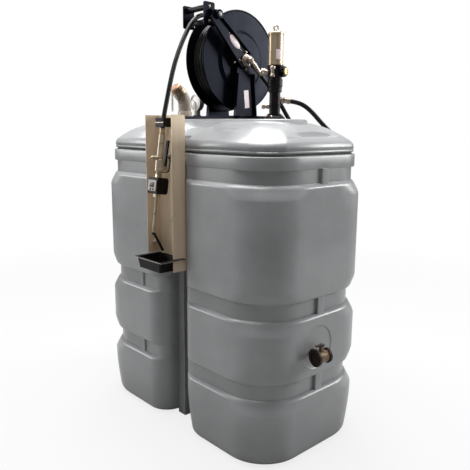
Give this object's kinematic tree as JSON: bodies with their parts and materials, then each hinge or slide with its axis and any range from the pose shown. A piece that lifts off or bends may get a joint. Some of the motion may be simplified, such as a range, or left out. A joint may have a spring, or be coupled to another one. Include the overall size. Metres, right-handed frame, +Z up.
{
  "type": "oil storage tank",
  "caption": "Double-lobed plastic oil storage tank with lid, hose reel, air-driven pump, fill pipe, level gauge, dispensing gun on a bracket and drip tray.",
  "frame": {"origin": "on the floor under the middle of the tank", "axes": "+X along the tank towards the end with the outlet valve, the dispensing side faces -Y, +Z up"},
  "size_m": [1.3729, 0.8595, 2.028],
  "materials": {
    "tank_plastic": "rotomoulded polyethylene",
    "black_enamel": "gloss enamel",
    "hose_rubber": "smooth hose cover",
    "zinc_sheet": "bright sheet",
    "plated_steel": "plated",
    "pump_plating": "yellow plated",
    "fill_casting": "pale casting",
    "cap_bronze": "bronze cap",
    "black_plastic": "moulded",
    "gauge_plastic": "clear dial",
    "valve_casting": "dark casting",
    "display": "window of the meter"
  },
  "bodies": {
    "tank": {"tank_shell": "tank_plastic", "tank_floor": "tank_plastic", "tank_lid": "tank_plastic", "deck_plate": "black_enamel", "reel_base": "black_enamel", "reel_pedestal_near": "black_enamel", "reel_pedestal_far": "black_enamel", "reel_axle": "plated_steel", "reel_arm": "black_enamel", "guide_cheeks": "black_enamel", "swivel_elbow": "plated_steel", "swivel_ferrule": "plated_steel", "pump_flange": "black_enamel", "pump_tube": "black_enamel", "pump_valve_body": "black_enamel", "pump_cylinder": "pump_plating", "pump_cap": "plated_steel", "pump_gauge": "black_enamel", "pump_air_fitting": "plated_steel", "pump_outlet": "plated_steel", "fill_flange": "black_enamel", "fill_elbow": "fill_casting", "fill_coupling": "fill_casting", "fill_cap": "cap_bronze", "fill_chain": "plated_steel", "level_gauge": "gauge_plastic", "gun_bracket": "zinc_sheet", "hose_holder": "black_plastic", "gun_body": "plated_steel", "trigger_guard": "black_plastic", "meter_body": "black_plastic", "meter_display": "display", "outlet_pipe": "plated_steel", "nozzle_tip": "black_plastic", "valve_stub": "valve_casting", "valve_body": "valve_casting", "valve_disc_front": "valve_casting", "valve_disc_back": "valve_casting", "dispensing_hose": "hose_rubber", "transfer_hose": "hose_rubber"},
    "drum": {"reel_disc_near": "black_enamel", "reel_disc_far": "black_enamel", "reel_core": "black_enamel", "wound_hose": "hose_rubber"},
    "upper_roller": {"guide_roller_upper": "black_plastic"},
    "lower_roller": {"guide_roller_lower": "black_plastic"},
    "trigger": {"gun_trigger": "black_plastic"},
    "tray": {"drip_tray": "black_plastic"},
    "handle": {"valve_handle": "valve_casting"}
  },
  "joints": [
    {"name": "drum_spin", "type": "hinge", "parent": "tank", "child": "drum", "pos_m": [-0.0525, 0.085, 1.783], "axis": [1, 0, 0], "continuous": true},
    {"name": "upper_roller_spin", "type": "hinge", "parent": "tank", "child": "upper_roller", "pos_m": [-0.052, -0.129, 2.008], "axis": [1, 0, 0], "continuous": true},
    {"name": "lower_roller_spin", "type": "hinge", "parent": "tank", "child": "lower_roller", "pos_m": [-0.052, -0.129, 1.944], "axis": [1, 0, 0], "continuous": true},
    {"name": "trigger_pull", "type": "hinge", "parent": "tank", "child": "trigger", "pos_m": [0.005, -0.37818, 1.27562], "axis": [1, 0, 0], "range_deg": [0, 6], "stiffness_Nm_per_rad": 0.4},
    {"name": "tray_slide", "type": "slide", "parent": "tank", "child": "tray", "axis": [0, -1, 0], "range_m": [0, 0.1]},
    {"name": "handle_turn", "type": "hinge", "parent": "tank", "child": "handle", "pos_m": [0.691, -0.06, 0.546], "axis": [0, 0, 1], "range_deg": [0, 90]}
  ]
}
